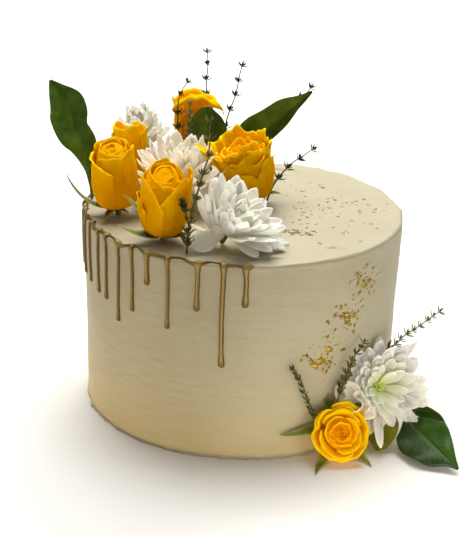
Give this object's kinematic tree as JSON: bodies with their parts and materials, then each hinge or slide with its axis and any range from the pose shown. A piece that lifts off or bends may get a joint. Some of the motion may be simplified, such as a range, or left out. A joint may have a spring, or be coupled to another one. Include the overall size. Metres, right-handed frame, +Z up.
{
  "type": "flower cake",
  "caption": "Tall round iced cake with gold drips and gold flakes, dressed on top and at its foot with yellow roses, white chrysanthemums, leaves and thyme.",
  "frame": {"origin": "centre of the cake's flat underside", "axes": "+Z up; -Y towards the side that is meant to be seen; +X to the right as seen from there"},
  "size_m": [0.2745, 0.226, 0.2189],
  "materials": {
    "buttercream": "satin",
    "rose": "matte",
    "chrysanthemum": "matte",
    "leaf": "satin",
    "thyme": "matte"
  },
  "bodies": {
    "root": {"cake": "buttercream", "rose_left": "rose", "rose_back_left": "rose", "rose_front": "rose", "rose_tall": "rose", "rose_ruffled": "rose", "rose_low": "rose", "rose_low_back": "rose", "mum_small": "chrysanthemum", "mum_front": "chrysanthemum", "mum_middle": "chrysanthemum", "mum_back": "chrysanthemum", "mum_low": "chrysanthemum", "leaf_left": "leaf", "leaf_right": "leaf", "leaf_back": "leaf", "leaf_low_right": "leaf", "leaf_low": "leaf", "thyme_back": "thyme", "thyme_back_right": "thyme", "thyme_back_left": "thyme", "thyme_middle": "thyme", "thyme_front": "thyme", "thyme_side": "thyme", "thyme_back_tip": "thyme", "thyme_low_left": "thyme", "thyme_low_middle": "thyme", "thyme_low_right": "thyme"}
  },
  "joints": []
}
